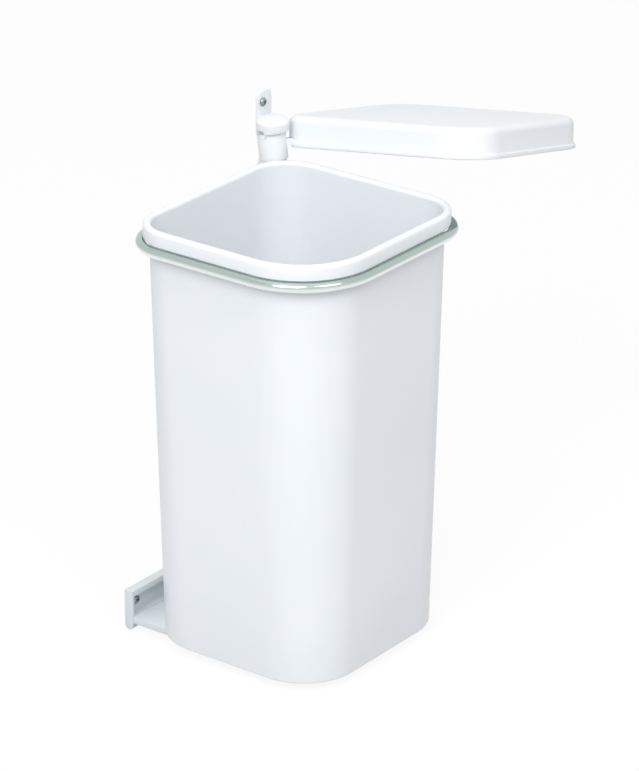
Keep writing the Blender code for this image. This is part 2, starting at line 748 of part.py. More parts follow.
def build_pail(surfaces):
    """Moulded pail with a rolled rim; its skirt drops over the shelf and is notched at the back."""
    floor_top = PAIL_FLOOR_UNDER + PAIL_FLOOR_THICK

    def body(inset, z):
        share = (z - TOUCH) / (RIM_TOP - RIM_BAND - TOUCH)
        drawn = FOOT_INSET + (RIM_OVERHANG - FOOT_INSET) * share
        corner = PAIL_FOOT_CORNER + (RIM_CORNER - RIM_OVERHANG - PAIL_FOOT_CORNER) * share
        far = PAIL_FOOT_CORNER + (RIM_FAR_CORNER - RIM_OVERHANG - PAIL_FOOT_CORNER) * share
        half_x = RIM_WIDTH / 2 - drawn - inset
        half_y = RIM_DEPTH / 2 - drawn - inset
        return rounded_rectangle(-half_x, half_x, -half_y, half_y, corner - inset, z, far=far - inset)

    under = RIM_TOP - RIM_BAND
    inside = RIM_OVERHANG + PAIL_WALL
    loops = [body(PAIL_WALL, PAIL_FLOOR_UNDER), body(PAIL_WALL, TOUCH)]
    for degrees in (0, 45, 90):
        angle = math.radians(degrees)
        inset = PAIL_FOOT_EDGE * (1 - math.sin(angle))
        loops.append(body(inset, TOUCH + PAIL_FOOT_EDGE * (1 - math.cos(angle))))
    loops.append(body(0.0, (TOUCH + under) / 2))
    loops.append(body(0.0, under - RIM_ROOT))
    loops.append(rim_outline(RIM_OVERHANG - RIM_ROOT, under))
    loops.append(rim_outline(RIM_LIP, under))
    loops.append(rim_outline(0.0, under + RIM_LIP))
    for degrees in (0, 30, 60, 90, 120, 150, 180):
        angle = math.radians(degrees)
        inset = inside / 2 * (1 - math.cos(angle))
        loops.append(rim_outline(inset, RIM_TOP - RIM_CROWN * (1 - math.sin(angle))))
    loops.append(body(PAIL_WALL, under - RIM_ROOT))
    loops.append(body(PAIL_WALL, (TOUCH + under) / 2))
    for degrees in (0, 30, 60, 90):
        angle = math.radians(degrees)
        inset = PAIL_WALL + PAIL_FLOOR_FILLET * (1 - math.cos(angle))
        loops.append(body(inset, floor_top + PAIL_FLOOR_FILLET * (1 - math.sin(angle))))
    pail = loft("pail", loops, surfaces["white"], location=(*PAIL_CENTRE, 0))
    notch = box(
        "pail_notch",
        (-SHELF_HALF_WIDTH - LOOSE, -PAIL_TO_DOOR, -CUT_OVER),
        (SHELF_HALF_WIDTH + LOOSE, -PAIL_BACK_GAP, PAIL_FLOOR_UNDER),
    )
    cut(pail, notch)


def build_hoop(surfaces):
    """Wire hoop under the pail's rim, let into a collar on the column and brazed to it."""
    path = rim_outline(-HOOP_OFFSET, HOOP_Z)
    loops = []
    count = len(path)
    for i, point in enumerate(path):
        along = (path[(i + 1) % count] - path[i - 1]).normalized()
        side = along.cross(Vector((0, 0, 1))).normalized()
        up = side.cross(along)
        loop = []
        for step in range(WIRE_STEPS):
            angle = 2 * math.pi * step / WIRE_STEPS
            loop.append(point + WIRE_RADIUS * (side * math.cos(angle) + up * math.sin(angle)))
        loops.append(loop)
    hoop = loft("hoop_wire", loops, surfaces["zinc"], closed=True, location=(*PAIL_CENTRE, 0))
    bore = COLUMN_RADIUS + RUNNING
    outer = bore + COLLAR_WALL
    clear = outer + RUNNING
    at_column = {"location": (*COLUMN_CENTRE, HOOP_Z)}
    cut(hoop, turned("hoop_end_trim", ((clear, -CUT_OVER), (clear, CUT_OVER)), None, **at_column))
    section = ring_profile(bore, outer, -COLLAR_HEIGHT / 2, COLLAR_HEIGHT / 2)
    collar = turned("hoop_collar", section, surfaces["zinc"], closed=True, **at_column)
    away = Vector((1, 1, 0)).normalized()
    cut(collar, grub_hole("collar_screw_hole", outer, HOOP_Z, away))
    grub_screw("collar_screw", bore, outer, HOOP_Z, away, surfaces["steel"])


def main():
    """Builds every piece at rest, with the lid swung aside."""
    clear_scene()
    surfaces = make_materials()
    build_bracket(surfaces)
    build_column(surfaces)
    build_head(surfaces)
    build_bearings(surfaces)
    build_pail(surfaces)
    build_hoop(surfaces)
    pivot = lid_frame()
    spots, tongue_high = build_arm(surfaces, pivot)
    build_lid(surfaces, pivot, spots, tongue_high)
    bpy.context.view_layer.update()


if __name__ == "__main__":
    main()
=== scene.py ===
"""Looks of a door-mounted waste bin: a lift-out pail, a wire hoop and a lid that swings aside.

Metres, +Z up. The door's face is the plane Y = 0, and the bin stands in front of it at negative Y.
"""

from __future__ import annotations

import logging
import math
from dataclasses import dataclass
from enum import Enum

import bmesh
import bpy
from bpy.types import Material, Node, NodeSocket, NodeTree, Object
from mathutils import Matrix, Quaternion, Vector

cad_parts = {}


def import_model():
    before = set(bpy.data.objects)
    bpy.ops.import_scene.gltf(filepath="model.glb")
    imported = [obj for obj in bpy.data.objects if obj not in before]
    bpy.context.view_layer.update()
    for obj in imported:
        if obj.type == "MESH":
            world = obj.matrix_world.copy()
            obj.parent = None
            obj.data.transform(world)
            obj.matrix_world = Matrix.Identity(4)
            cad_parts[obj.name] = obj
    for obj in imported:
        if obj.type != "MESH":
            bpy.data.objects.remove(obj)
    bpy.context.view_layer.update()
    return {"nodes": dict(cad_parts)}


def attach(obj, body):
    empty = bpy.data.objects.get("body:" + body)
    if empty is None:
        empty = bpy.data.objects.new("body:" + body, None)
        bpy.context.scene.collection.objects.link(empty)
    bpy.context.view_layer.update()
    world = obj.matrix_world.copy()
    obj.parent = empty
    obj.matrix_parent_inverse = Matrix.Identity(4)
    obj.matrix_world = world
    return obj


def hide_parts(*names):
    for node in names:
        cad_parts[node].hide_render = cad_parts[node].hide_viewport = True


Pair = tuple[float, float]
Corner = tuple[float, float, float]
Four = tuple[float, float, float, float]
Loop = list[Vector]

LOG = logging.getLogger("waste_bin")
MM = 0.001
IMAGE_HEIGHT = 771
# Steps round a pail's or lid's corner and round a whole circle, and the angle of a sharp edge
CORNER_STEPS = 20
ROUND_STEPS = 72
SHARP = 32.0
UP = Vector((0.0, 0.0, 1.0))
TO_ROOM = Vector((0.0, -1.0, 0.0))

# Gap between pieces that touch
TOUCH = 0.0003
# Cutters: past a face, right through a wall, and across a whole piece
OVER = 0.01
THROUGH = 0.03
ACROSS = 0.05
# Corners of a cutter for all that reaches into the door
BEHIND_DOOR = ((-0.2, 0.0, -0.1), (0.2, 0.05, 0.6))
# Radii of holes that more than one piece has
GRUB_HOLE = 0.00225
WOOD_SCREW_HOLE = 0.0024


class Body(Enum):
    """The three bodies that pieces ride on."""

    FRAME = "frame"
    PAIL = "pail"
    LID = "lid"


class Slot(Enum):
    """Material slots of the record."""

    PLASTIC = "white_plastic"
    ENAMEL = "white_enamel"
    WIRE = "zinc_wire"
    STEEL = "zinc_steel"


def linear(hex_colour: str) -> Four:
    """Turns an sRGB hex colour into linear light.

    Args:
        hex_colour: Six hex digits after a hash sign.

    Returns:
        Linear red, green, blue and an alpha of 1.
    """
    values = []
    for start in (1, 3, 5):
        value = int(hex_colour[start : start + 2], 16) / 255
        values.append(value / 12.92 if value <= 0.04045 else ((value + 0.055) / 1.055) ** 2.4)
    return (*values, 1.0)


def add_node(
    tree: NodeTree, kind: str, inputs: dict[str | int, object] | None = None, **settings: object
) -> Node:
    """Adds a node to a tree.

    Args:
        tree: The tree that gets the node.
        kind: Blender's name of the node's type.
        inputs: Values or sources for its sockets. A node gives its first output.
        settings: Properties of the node itself.

    Returns:
        The new node.
    """
    node = tree.nodes.new(kind)
    for name, value in settings.items():
        setattr(node, name, value)
    for name, value in (inputs or {}).items():
        source = value.outputs[0] if isinstance(value, Node) else value
        if isinstance(source, NodeSocket):
            tree.links.new(source, node.inputs[name])
        else:
            node.inputs[name].default_value = source
    return node


@dataclass(frozen=True)
class Noise:
    """Size of a pattern in mm, and how fine and how rough it is."""

    mm: float
    detail: float
    rough: float = 0.5


@dataclass(frozen=True)
class Finish:
    """What the finishes share: a colour that drifts, an uneven gloss and a fine relief.

    The grain is drawn coarser than the real one, so that it shows. Without scuffs the gloss follows
    the colour, and a finish without an index of refraction is a metal.
    """

    name: str
    shade: str
    drift: str
    roughness: Pair
    ior: float | None = None
    clouds: Noise = Noise(90.0, 3.0)
    scuffs: Noise | None = None
    gloss_from: Pair = (0.3, 0.7)
    grain: Noise = Noise(1.6, 1.0)
    grain_strength: float = 0.1
    grain_depth_mm: float = 0.05
    # Painted shade: a grey laid over the colour between two heights
    painted_shade: str | None = None
    dulled_between: Pair = (0.0, 1.0)

    def build(self) -> Material:
        """Makes the material.

        Returns:
            A Principled material on Object coordinates.
        """
        made = bpy.data.materials.new(self.name)
        made.use_nodes = True
        tree = made.node_tree
        shader = tree.nodes["Principled BSDF"].inputs
        if self.ior is None:
            shader["Metallic"].default_value = 1.0
        else:
            shader["IOR"].default_value = self.ior
        place = add_node(tree, "ShaderNodeTexCoord").outputs["Object"]
        pattern = {}
        for noise in (self.clouds, self.scuffs, self.grain):
            if noise:
                inputs = {"Detail": noise.detail, "Roughness": noise.rough, "Vector": place}
                inputs["Scale"] = 1 / (noise.mm * MM)
                pattern[noise] = add_node(tree, "ShaderNodeTexNoise", inputs)
        tints = {0: pattern[self.clouds], 6: linear(self.shade), 7: linear(self.drift)}
        colour = add_node(tree, "ShaderNodeMix", tints, data_type="RGBA").outputs[2]
        # Painted shade: the colour turns to grey between two heights
        if self.painted_shade:
            height = add_node(tree, "ShaderNodeSeparateXYZ", {"Vector": place}).outputs["Z"]
            low, high = self.dulled_between
            heights = {"Value": height, "From Min": low, "From Max": high}
            share = add_node(tree, "ShaderNodeMapRange", heights, interpolation_type="SMOOTHSTEP")
            tints = {0: share, 6: colour, 7: linear(self.painted_shade)}
            colour = add_node(tree, "ShaderNodeMix", tints, data_type="RGBA").outputs[2]
        tree.links.new(colour, shader["Base Color"])
        (low, high), (least, most) = self.gloss_from, self.roughness
        levels = {"From Min": low, "From Max": high, "To Min": least, "To Max": most}
        levels["Value"] = pattern[self.scuffs or self.clouds]
        gloss = add_node(tree, "ShaderNodeMapRange", levels)
        tree.links.new(gloss.outputs["Result"], shader["Roughness"])
        bumps = {"Strength": self.grain_strength, "Distance": self.grain_depth_mm * MM}
        relief = add_node(tree, "ShaderNodeBump", {**bumps, "Height": pattern[self.grain]})
        tree.links.new(relief.outputs["Normal"], shader["Normal"])
        return made


@dataclass(frozen=True)
class MouldedPlastic(Finish):
    """White polypropylene, injection moulded: a soft satin gloss over a very fine eroded grain."""

    name: str = "moulded_polypropylene"
    shade: str = "#F1F4F7"
    drift: str = "#E9EDF1"
    roughness: Pair = (0.30, 0.40)
    ior: float | None = 1.49
    clouds: Noise = Noise(140.0, 2.0)
    scuffs: Noise | None = Noise(14.0, 5.0, 0.62)
    gloss_from: Pair = (0.35, 0.7)
    grain: Noise = Noise(0.9, 3.0)
    grain_strength: float = 0.05


@dataclass(frozen=True)
class PowderCoat(Finish):
    """White powder coat on steel tube: an even gloss with a faint orange peel."""

    name: str = "powder_coated_steel"
    shade: str = "#ECEFF4"
    drift: str = "#E4E8EE"
    roughness: Pair = (0.24, 0.34)
    ior: float | None = 1.5
    grain_strength: float = 0.08


@dataclass(frozen=True)
class ZincPlate(Finish):
    """Zinc-plated steel: grey metal with cloudy passivation and fine drawing marks."""

    clouds: Noise = Noise(6.0, 4.0, 0.6)
    grain: Noise = Noise(0.7, 2.0)
    grain_depth_mm: float = 0.04


class Finishes:
    """The object's materials, each made once."""

    def __init__(self) -> None:
        """Makes the materials."""
        # Pail, lid, head and arm: near white, with broad soft highlights
        self.plastic = MouldedPlastic().build()
        # Column and its plug: glossier, with a faint ripple in the highlight
        self.enamel = PowderCoat().build()
        # Bracket: the pail's plastic in a greyer white, partly its own tone and partly painted shade
        # for the dim foot under the pail
        self.bracket = MouldedPlastic("bracket_polypropylene", "#DCE3E5", "#D5DCDF").build()
        # Hoop: bright plate, with painted shade: a grey line painted along the top of the wire, under
        # the rim
        top = {"painted_shade": "#B2C0BC", "dulled_between": (0.3946, 0.3978)}
        self.wire = ZincPlate("bright_plated_wire", "#F4F7F6", "#E9EEEC", (0.12, 0.20), **top).build()
        # Screws and pins: darker and cloudier than the hoop
        self.steel = ZincPlate("zinc_plated_screws", "#A6B3AE", "#8C9995", (0.24, 0.38)).build()
        # Bushes and washers: a warm, rather matt white
        self.nylon = MouldedPlastic("natural_nylon", "#DAD8CD", "#CFCCBF", (0.42, 0.52), 1.53).build()


def arc(x: float, y: float, radius: float, start: float, steps: int) -> list[Pair]:
    """Points over a right angle about a centre, anticlockwise from a start in degrees."""
    angles = (math.radians(start + 90.0 * step / steps) for step in range(steps + 1))
    return [(x + radius * math.cos(a), y + radius * math.sin(a)) for a in angles]


def quarter(steps: int) -> list[Pair]:
    """Sine and cosine over a right angle, ends included."""
    angles = (math.pi / 2 * step / steps for step in range(steps + 1))
    return [(math.sin(a), math.cos(a)) for a in angles]


def rounded_rectangle(sides: Four, bends: Four, z: float) -> Loop:
    """Points round a rectangle with round corners, anticlockwise seen from above.

    Args:
        sides: Left, right, front and back.
        bends: Radii of the right back, left back, left front and right front corners.
        z: Height.

    Returns:
        The points, four corners in turn.
    """
    x0, x1, y0, y1 = sides
    a, b, c, d = bends
    corners = (
        (x1 - a, y1 - a, a, 0.0),
        (x0 + b, y1 - b, b, 90.0),
        (x0 + c, y0 + c, c, 180.0),
        (x1 - d, y0 + d, d, 270.0),
    )
    return [Vector((x, y, z)) for corner in corners for x, y in arc(*corner, CORNER_STEPS)]


def aim(direction: Vector) -> Matrix:
    """Turn that points Z along a direction."""
    return UP.rotation_difference(direction).to_matrix().to_4x4()


def add_object(name: str, data: bpy.types.ID) -> Object:
    """Puts an object at the scene's origin.

    Args:
        name: Its name.
        data: Its mesh, lamp or camera.

    Returns:
        The object.
    """
    obj = bpy.data.objects.new(name, data)
    bpy.context.scene.collection.objects.link(obj)
    return obj


def make_object(name: str, bm: bmesh.types.BMesh, place: Matrix = Matrix()) -> Object:
    """Makes an object at the origin from a bmesh, with its place in its mesh.

    Args:
        name: Its name.
        bm: Its faces, freed here.
        place: Where the faces go.

    Returns:
        The object, with smooth round faces and sharp edges kept.
    """
    bmesh.ops.transform(bm, matrix=place, verts=bm.verts)
    bmesh.ops.recalc_face_normals(bm, faces=bm.faces)
    mesh = bpy.data.meshes.new(name)
    bm.to_mesh(mesh)
    bm.free()
    obj = add_object(name, mesh)
    shade(obj, SHARP)
    return obj


def point_row(name: str, points: Loop, joined: bool) -> Object:
    """Makes an object of bare points for a node tree to start from.

    Args:
        name: Its name.
        points: The points in order.
        joined: Joins them into a line.

    Returns:
        The object.
    """
    mesh = bpy.data.meshes.new(name)
    edges = [(i, i + 1) for i in range(len(points) - 1)] if joined else []
    mesh.from_pydata([tuple(point) for point in points], edges, [])
    return add_object(name, mesh)


def shade(obj: Object, sharp: float) -> None:
    """Shades a mesh smooth, apart from edges sharper than an angle in degrees."""
    obj.data.shade_smooth()
    obj.data.set_sharp_from_angle(angle=math.radians(sharp))


def loft(name: str, loops: list[Loop], closed: bool = False, place: Matrix = Matrix()) -> Object:
    """Makes a skin over loops of equal length.

    Args:
        name: Its name.
        loops: Loops in order.
        closed: Joins the last loop to the first in place of caps.
        place: Where the skin goes.

    Returns:
        The object.
    """
    bm = bmesh.new()
    rows = [[bm.verts.new(point) for point in loop] for loop in loops]
    pairs = list(zip(rows, rows[1:]))
    if closed:
        pairs.append((rows[-1], rows[0]))
    for low, high in pairs:
        for i in range(len(low)):
            j = (i + 1) % len(low)
            bm.faces.new((low[i], low[j], high[j], high[i]))
    if not closed:
        bm.faces.new(list(reversed(rows[0])))
        bm.faces.new(rows[-1])
    return make_object(name, bm, place)


def circle(radius: float, z: float, steps: int) -> Loop:
    """Points round a circle about Z."""
    angles = (2 * math.pi * step / steps for step in range(steps))
    return [Vector((radius * math.cos(a), radius * math.sin(a), z)) for a in angles]


def turned(
    name: str,
    profile: list[Pair],
    place: Matrix = Matrix(),
    closed: bool = False,
    steps: int = ROUND_STEPS,
) -> Object:
    """Makes a turned piece from radius and height pairs, as a solid or as a closed ring."""
    return loft(name, [circle(r, z, steps) for r, z in profile], closed, place)


def peg(radius: float, low: float, high: float, place: Matrix, steps: int = 32) -> Object:
    """Makes a plain round helper along Z."""
    return turned("peg", [(radius, low), (radius, high)], place, steps=steps)


def box(name: str, low: Corner, high: Corner, place: Matrix = Matrix()) -> Object:
    """Makes a box between its lowest and its highest corner."""
    ends = ((low[0], low[1]), (high[0], low[1]), (high[0], high[1]), (low[0], high[1]))
    return loft(name, [[Vector((x, y, z)) for x, y in ends] for z in (low[2], high[2])], place=place)


def settle(obj: Object) -> None:
    """Applies an object's modifiers to its mesh.

    Args:
        obj: The object.
    """
    graph = bpy.context.evaluated_depsgraph_get()
    mesh = bpy.data.meshes.new_from_object(obj.evaluated_get(graph))
    obj.modifiers.clear()
    obj.data = mesh


def combine(obj: Object, operation: str, *others: Object) -> None:
    """Joins or cuts a mesh with helpers and removes the helpers.

    Args:
        obj: The mesh that stays.
        operation: UNION or DIFFERENCE.
        others: Helpers.
    """
    for other in others:
        modifier = obj.modifiers.new("shape", "BOOLEAN")
        modifier.operation = operation
        modifier.solver = "EXACT"
        modifier.object = other
    settle(obj)
    for other in others:
        bpy.data.objects.remove(other, do_unlink=True)


def soften(obj: Object, width: float, segments: int = 3, degrees: float = 40.0) -> None:
    """Rounds a mesh's sharp edges.

    Args:
        obj: The mesh.
        width: Width of the rounding.
        segments: Faces across it.
        degrees: Edges sharper than this are rounded.
    """
    bm = bmesh.new()
    bm.from_mesh(obj.data)
    bmesh.ops.remove_doubles(bm, verts=bm.verts, dist=0.01 * MM)
    bmesh.ops.dissolve_limit(bm, angle_limit=math.radians(0.5), verts=bm.verts, edges=bm.edges)
    bm.to_mesh(obj.data)
    bm.free()
    modifier = obj.modifiers.new("soft_edges", "BEVEL")
    modifier.width = width
    modifier.segments = segments
    modifier.limit_method = "ANGLE"
    modifier.angle_limit = math.radians(degrees)
    settle(obj)
    shade(obj, SHARP)


def new_tree(name: str, inputs: dict[str, str]) -> NodeTree:
    """Starts a node tree that takes geometry, some named inputs and a finish, and gives geometry.

    Args:
        name: Its name.
        inputs: Socket types of the named inputs.

    Returns:
        The tree, still without nodes.
    """
    tree = bpy.data.node_groups.new(name, "GeometryNodeTree")
    kinds = {"Geometry": "NodeSocketGeometry", **inputs, "Finish": "NodeSocketMaterial"}
    for socket, kind in kinds.items():
        tree.interface.new_socket(socket, in_out="INPUT", socket_type=kind)
    tree.interface.new_socket("Geometry", in_out="OUTPUT", socket_type="NodeSocketGeometry")
    return tree


def end_tree(tree: NodeTree, result: Node, finish: NodeSocket) -> None:
    """Makes a tree's instances real, gives them their finish and ends the tree.

    Args:
        tree: The tree.
        result: The node that gives the geometry so far.
        finish: The material input.
    """
    real = add_node(tree, "GeometryNodeRealizeInstances", {"Geometry": result})
    coated = add_node(tree, "GeometryNodeSetMaterial", {"Geometry": real, "Material": finish})
    add_node(tree, "NodeGroupOutput", {"Geometry": coated})


def grow(obj: Object, tree: NodeTree, inputs: dict[str, object]) -> None:
    """Runs a node tree on an object and keeps its result as a plain mesh.

    Args:
        obj: The object that the tree starts from.
        tree: The tree.
        inputs: Values for the tree's inputs, by name.
    """
    modifier = obj.modifiers.new(tree.name, "NODES")
    modifier.node_group = tree
    for socket in tree.interface.items_tree:
        if socket.in_out == "INPUT" and socket.name in inputs:
            modifier[socket.identifier] = inputs[socket.name]
    settle(obj)


def dress(
    obj: Object, surface: Material, body: Body, slot: Slot, *nodes: str, sharp: float = SHARP
) -> None:
    """Gives a piece its shading, its material, its body and the nodes that it stands for.

    Args:
        obj: The piece.
        surface: Its material.
        body: What it moves with.
        slot: The record's slot for its finish; not used.
        nodes: Solids that it replaces.
        sharp: Edges sharper than this stay sharp.
    """
    shade(obj, sharp)
    obj.data.materials.clear()
    obj.data.materials.append(surface)
    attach(obj, body.value)
    if nodes:
        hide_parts(*nodes)
    LOG.info("%s rides on %s", obj.name, body.value)


@dataclass
class Hinge:
    """The leaning axis that the lid turns about, through the column's axis at the barrel's middle."""

    column_x: float = 0.110991
    column_y: float = -0.0175
    z: float = 0.410
    lean_back: float = math.radians(10.0)
    lean_side: float = math.radians(2.5)
    open_angle: float = math.radians(95.0)
    barrel: float = 0.0262
    notch_from: float = 0.0097
    notch_to: float = 0.0257
    notch_half: float = 0.00425
    notch_below: float = 0.0046
    notch_above: float = 0.0036

    @property
    def column(self) -> Matrix:
        """Place of a piece drawn about the column's axis."""
        return Matrix.Translation((self.column_x, self.column_y, 0.0))

    @property
    def point(self) -> Vector:
        """A point on the axis, at the barrel's foot."""
        half = self.barrel / 2
        x = self.column_x - half * math.tan(self.lean_side)
        return Vector((x, self.column_y - half * math.tan(self.lean_back), self.z))

    @property
    def axis(self) -> Vector:
        """Direction of the axis."""
        return Vector((math.tan(self.lean_side), math.tan(self.lean_back), 1.0)).normalized()

    @property
    def leaning(self) -> Matrix:
        """Place of a fixed piece drawn along Z from the barrel's foot."""
        return Matrix.Translation(self.point) @ aim(self.axis)

    @property
    def swung(self) -> Matrix:
        """Place of a lid piece drawn closed about the hinge point."""
        turn = Quaternion(self.axis, self.open_angle)
        return Matrix.Translation(self.point) @ turn.to_matrix().to_4x4()

    @property
    def swung_leaning(self) -> Matrix:
        """Place of a lid piece drawn along Z from the barrel's foot."""
        return self.swung @ aim(self.axis)

    def seam_notch(self) -> Object:
        """Makes the cutter for the notch across the seam between head and barrel.

        Returns:
            A box in the place that the notch has at rest.
        """
        low = (-self.notch_to, -self.notch_half, self.barrel - self.notch_below)
        high = (-self.notch_from, self.notch_half, self.barrel + TOUCH + self.notch_above)
        return box("notch", low, high, self.leaning)


@dataclass
class Pail:
    """Moulded pail with a rolled rim and a skirt that drops over the shelf."""

    finishes: Finishes
    width: float = 0.230
    depth: float = 0.220
    corner: float = 0.0425
    far_corner: float = 0.0735
    top: float = 0.415
    band: float = 0.0145
    overhang: float = 0.00565
    wall: float = 0.0022
    draft: float = 0.0015
    foot_corner: float = 0.056
    foot: float = 0.0003
    foot_edge: float = 0.0016
    floor_under: float = 0.0063
    floor_thick: float = 0.0025
    fillet: float = 0.006
    rim_root: float = 0.0015
    rim_lip: float = 0.0010
    rim_crown: float = 0.0034
    mouth: float = 0.006
    to_door: float = 0.132
    shelf_half: float = 0.0954
    wall_shares: tuple[float, ...] = (0.2, 0.4, 0.6, 0.8)
    share_under_rim: float = 0.97

    @property
    def under(self) -> float:
        """Height of the rim's underside."""
        return self.top - self.band

    def section(self, drawn: float, corner: float, far: float, z: float) -> Loop:
        """Section through the pail.

        Args:
            drawn: Distance in from the rim's outline.
            corner: Corner radius.
            far: Radius of the left front corner.
            z: Height.

        Returns:
            The points round it.
        """
        x = self.width / 2 - drawn
        y = self.depth / 2 - drawn
        sides = (-x, x, -self.to_door - y, -self.to_door + y)
        return rounded_rectangle(sides, (corner, corner, far, corner), z)

    def body(self, inset: float, z: float) -> Loop:
        """Section through the wall.

        Args:
            inset: Distance in from the outside.
            z: Height.

        Returns:
            The points round it.
        """
        share = (z - self.foot) / (self.under - self.foot)
        drawn = self.overhang + self.draft * (1 - share)
        corner, far = (
            self.foot_corner + (bend - self.overhang - self.foot_corner) * share - inset
            for bend in (self.corner, self.far_corner)
        )
        return self.section(drawn + inset, corner, far, z)

    def rim(self, inset: float, z: float) -> Loop:
        """Section through the rim, drawn in by an inset."""
        return self.section(inset, self.corner - inset, self.far_corner - inset, z)

    def build(self) -> None:
        """Makes and dresses the pail."""
        rise = self.under - self.foot
        inside = self.overhang + self.wall
        # Round the foot's edge and up the outside
        edge = self.foot_edge
        loops = [self.body(self.wall, self.floor_under), self.body(self.wall, self.foot)]
        loops += [self.body(edge * (1 - s), self.foot + edge * (1 - c)) for s, c in quarter(5)]
        loops += [self.body(0.0, self.foot + rise * share) for share in self.wall_shares]
        # Out under the rim, round its lip and over its crown
        root, lip, crown = self.rim_root, self.rim_lip, self.rim_crown
        loops += [self.body(-root * (1 - c), self.under - root + root * s) for s, c in quarter(4)]
        loops += [self.rim(lip * (1 - s), self.under + lip * (1 - c)) for s, c in quarter(4)]
        roll = inside / 2
        loops += [self.rim(roll * (1 - c), self.top - crown + crown * s) for s, c in quarter(7)]
        for s, c in quarter(7)[1:]:
            loops.append(self.rim(inside - roll * (1 - s), self.top - crown + crown * c))
        # Down the inside and into the floor
        loops.append(self.rim(inside, self.top - self.mouth))
        shares = (self.share_under_rim, *reversed(self.wall_shares))
        loops += [self.body(self.wall, self.foot + rise * share) for share in shares]
        floor = self.floor_under + self.floor_thick
        wall, bend = self.wall, self.fillet
        loops += [self.body(wall + bend * (1 - c), floor + bend * (1 - s)) for s, c in quarter(6)]
        pail = loft("pail_moulding", loops)
        back = self.depth / 2 - self.to_door
        low = (-self.shelf_half, -self.to_door, -OVER)
        notch = box("notch", low, (self.shelf_half, back, self.floor_under))
        combine(pail, "DIFFERENCE", notch)
        dress(pail, self.finishes.plastic, Body.PAIL, Slot.PLASTIC, "pail")


@dataclass
class Hoop:
    """Wire hoop round the pail under its rim, and its collar on the column."""

    finishes: Finishes
    pail: Pail
    hinge: Hinge
    wire: float = 0.0047
    sides: int = 24
    sharp: float = 50.0
    offset: float = 0.0020
    step: float = 0.0015
    end_gap: float = 0.0006
    column: float = 0.0137
    clearance: float = 0.00025
    collar_wall: float = 0.0029
    collar_height: float = 0.0115
    collar_ease: float = 0.0007

    @property
    def height(self) -> float:
        """Height of the wire's middle."""
        return self.pail.under - self.wire - TOUCH

    def path(self) -> Loop:
        """Finds points along the wire.

        Returns:
            The points, from one side of the collar round to the other.
        """
        loop = self.pail.rim(-self.offset, self.height)
        centre = Vector((self.hinge.column_x, self.hinge.column_y))
        reach = self.column + self.collar_wall + 2 * self.clearance + self.end_gap
        dense: Loop = []
        for here, after in zip(loop, loop[1:] + loop[:1]):
            count = max(1, round((after - here).length / self.step))
            dense += [here.lerp(after, i / count) for i in range(count)]
        start = min(range(len(dense)), key=lambda i: (dense[i].xy - centre).length)
        turned_round = dense[start:] + dense[:start]
        return [point for point in turned_round if (point.xy - centre).length > reach]

    def tree(self) -> NodeTree:
        """Builds the node tree that sweeps a round wire along a line of points.

        Returns:
            A tree with inputs for the wire's radius, its sides and its material.
        """
        tree = new_tree("wire_sweep", {"Wire Radius": "NodeSocketFloat", "Sides": "NodeSocketInt"})
        given = add_node(tree, "NodeGroupInput").outputs
        line = add_node(tree, "GeometryNodeMeshToCurve", {"Mesh": given["Geometry"]})
        ring = {"Resolution": given["Sides"], "Radius": given["Wire Radius"]}
        section = add_node(tree, "GeometryNodeCurvePrimitiveCircle", ring)
        sweep = {"Curve": line, "Profile Curve": section, "Fill Caps": True}
        swept = add_node(tree, "GeometryNodeCurveToMesh", sweep)
        smooth = add_node(tree, "GeometryNodeSetShadeSmooth", {"Geometry": swept})
        end_tree(tree, smooth, given["Finish"])
        return tree

    def build(self) -> None:
        """Makes and dresses the hoop and its collar."""
        self.build_wire()
        self.build_collar()

    def build_wire(self) -> None:
        """Makes the wire, which stops short of the collar."""
        hoop = point_row("hoop", self.path(), joined=True)
        inputs = {"Wire Radius": self.wire, "Sides": self.sides, "Finish": self.finishes.wire}
        grow(hoop, self.tree(), inputs)
        dress(hoop, self.finishes.wire, Body.FRAME, Slot.WIRE, "hoop_wire", sharp=self.sharp)

    def build_collar(self) -> None:
        """Makes the collar with the hole for its headless screw."""
        inner = self.column + self.clearance
        outer = inner + self.collar_wall
        low = self.height - self.collar_height / 2
        top = low + self.collar_height
        ease = self.collar_ease
        profile = [(inner, low + ease), (inner + ease, low), (outer - ease, low), (outer, low + ease)]
        profile += [(outer, top - ease), (outer - ease, top), (inner + ease, top), (inner, top - ease)]
        collar = turned("hoop_clamp_collar", profile, self.hinge.column, closed=True)
        away = Vector((1.0, 1.0, 0.0)).normalized()
        middle = self.hinge.column @ Matrix.Translation((0.0, 0.0, self.height))
        combine(collar, "DIFFERENCE", peg(GRUB_HOLE, 0.0, THROUGH, middle @ aim(away)))
        dress(collar, self.finishes.wire, Body.FRAME, Slot.WIRE, "hoop_collar")


@dataclass(frozen=True)
class ScrewSize:
    """Size of a cross-recess pan-head screw, and its proportions."""

    head: float
    height: float
    shank: float
    tip_share: float = 0.4
    taper_share: float = 0.6
    side_share: float = 0.25
    flat_share: float = 0.35
    cross_arm_share: float = 0.58
    cross_half_share: float = 0.13
    cross_floor_share: float = 0.45


WOOD_SCREW = ScrewSize(0.0042, 0.0025, 0.002)
LID_SCREW = ScrewSize(0.0028, 0.0018, 0.0013)


